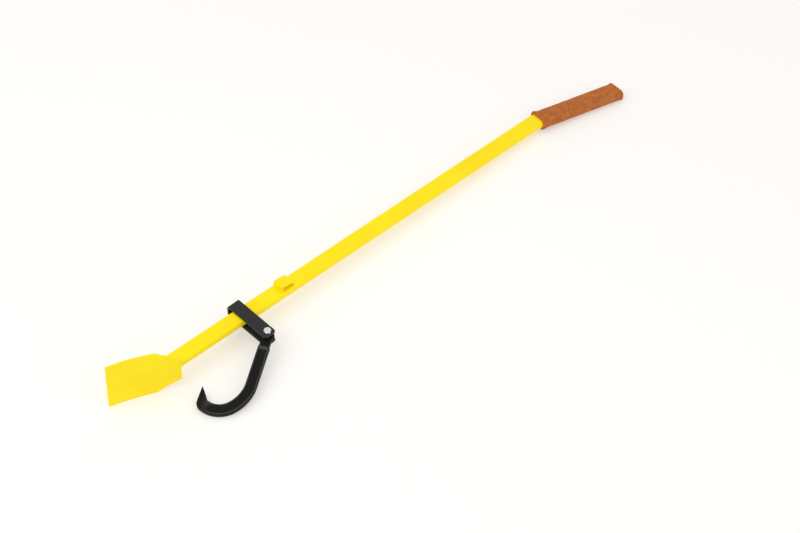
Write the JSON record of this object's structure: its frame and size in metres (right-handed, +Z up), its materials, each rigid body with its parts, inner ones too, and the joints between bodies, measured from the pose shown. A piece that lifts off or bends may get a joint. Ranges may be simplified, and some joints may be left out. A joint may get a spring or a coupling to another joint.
{
  "type": "felling lever with turning hook",
  "caption": "Felling lever for tree work: bent yellow steel bar with an angled blade, a brown sleeve grip, and a black turning hook on a strap that slides along the bar.",
  "frame": {"origin": "middle of the footprint's bounding rectangle, at ground level", "axes": "+X along the bar from the blade to the grip, +Y away from the hook, +Z up; the lever lies on its side with both bends level"},
  "size_m": [1.2976, 0.1798, 0.1053],
  "materials": {
    "yellow_enamel": "glossy yellow powder coat",
    "black_enamel": "satin black coat on forged and bent steel",
    "zinc_steel": "bright zinc plating",
    "brown_grip": "matt, slightly mottled brown grip material",
    "dark_steel": "bare rolled steel inside the tube",
    "black_plastic": "plain moulded plastic",
    "nylon_ring": "plain nylon"
  },
  "bodies": {
    "lever": {"shaft_tube": "yellow_enamel", "blade": "yellow_enamel", "blade_tang": "dark_steel", "tang_plug_weld": "yellow_enamel", "blade_weld": "yellow_enamel", "stop_loop": "yellow_enamel", "stop_loop_welds": "yellow_enamel", "grip_sleeve": "brown_grip", "tube_end_plug": "black_plastic"},
    "strap": {"hook_strap": "black_enamel", "pivot_bolt": "zinc_steel", "pivot_washer": "zinc_steel", "lock_nut": "zinc_steel", "lock_nut_ring": "nylon_ring"},
    "hook": {"turning_hook": "black_enamel"}
  },
  "joints": [
    {"name": "strap_slide", "type": "slide", "parent": "lever", "child": "strap", "axis": [0.9995, 0, -0.0303], "range_m": [-0.14, 0.07]},
    {"name": "hook_swing", "type": "hinge", "parent": "strap", "child": "hook", "pos_m": [-0.35014, -0.01461, 0.04109], "axis": [-0.0221, -0.0418, 0.9989], "range_deg": [-12, 160]}
  ]
}
